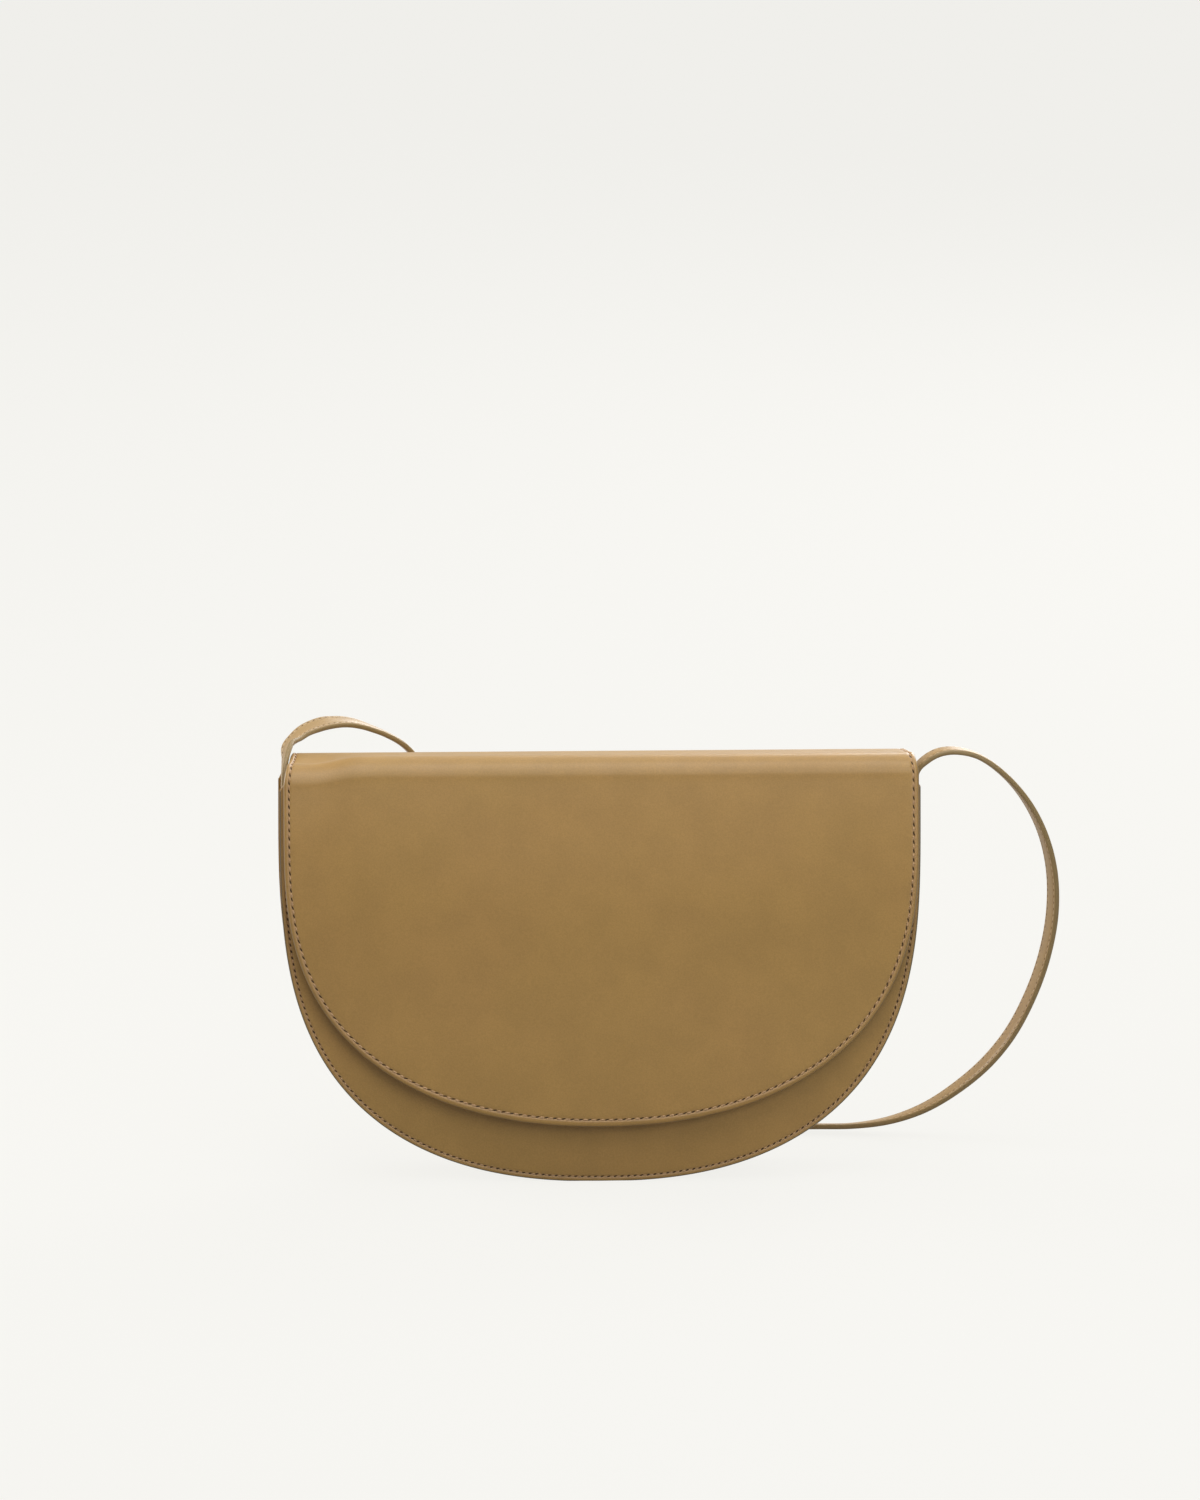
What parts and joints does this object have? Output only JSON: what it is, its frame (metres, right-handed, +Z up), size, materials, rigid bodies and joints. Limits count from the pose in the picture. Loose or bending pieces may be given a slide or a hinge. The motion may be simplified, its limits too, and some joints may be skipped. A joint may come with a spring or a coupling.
{
  "type": "half moon flap bag",
  "caption": "Small half moon shoulder bag in smooth leather with a long rounded flap, a hidden magnet closure and a narrow flat strap that lies behind it.",
  "frame": {"origin": "on the floor under the middle of the bag, halfway through its width and depth with the flap closed and the strap left out", "axes": "+X across the bag to the viewer's right, -Y out of the flap's front, +Z up"},
  "size_m": [0.3427, 0.1139, 0.1951],
  "materials": {
    "khaki_leather": "smooth, semi-matt, warm khaki tan",
    "khaki_edge_leather": "smooth, darker, as on the inner facings",
    "sand_lining": "fine woven cotton lining",
    "grey_board": "bonded leather fibre board, hidden stiffener",
    "pale_brass": "plated magnet closure, hidden by the flap"
  },
  "bodies": {
    "bag_body": {"front_panel": "khaki_leather", "front_board": "grey_board", "front_lining": "sand_lining", "front_facing": "khaki_edge_leather", "back_panel": "khaki_leather", "back_board": "grey_board", "back_lining": "sand_lining", "back_facing": "khaki_edge_leather", "gusset": "khaki_leather", "gusset_lining": "sand_lining", "slip_pocket": "sand_lining", "slip_pocket_trim": "khaki_edge_leather", "magnet_socket": "pale_brass", "magnet_socket_washer": "pale_brass", "flap_tab": "khaki_leather", "strap": "khaki_leather", "strap_backer_left": "grey_board", "strap_backer_right": "grey_board"},
    "flap_bridge": {"bridge_leather": "khaki_leather", "bridge_lining": "sand_lining"},
    "flap_front": {"flap_leather": "khaki_leather", "flap_board": "grey_board", "flap_lining": "sand_lining", "magnet_stud": "pale_brass", "magnet_stud_washer": "pale_brass"}
  },
  "joints": [
    {"name": "flap_lift", "type": "hinge", "parent": "bag_body", "child": "flap_bridge", "pos_m": [0, 0.02013, 0.18265], "axis": [-1, 0, 0], "range_deg": [0, 90]},
    {"name": "flap_unfold", "type": "hinge", "parent": "flap_bridge", "child": "flap_front", "pos_m": [0, -0.00409, 0.18749], "axis": [-1, 0, 0], "range_deg": [0, 90]}
  ]
}
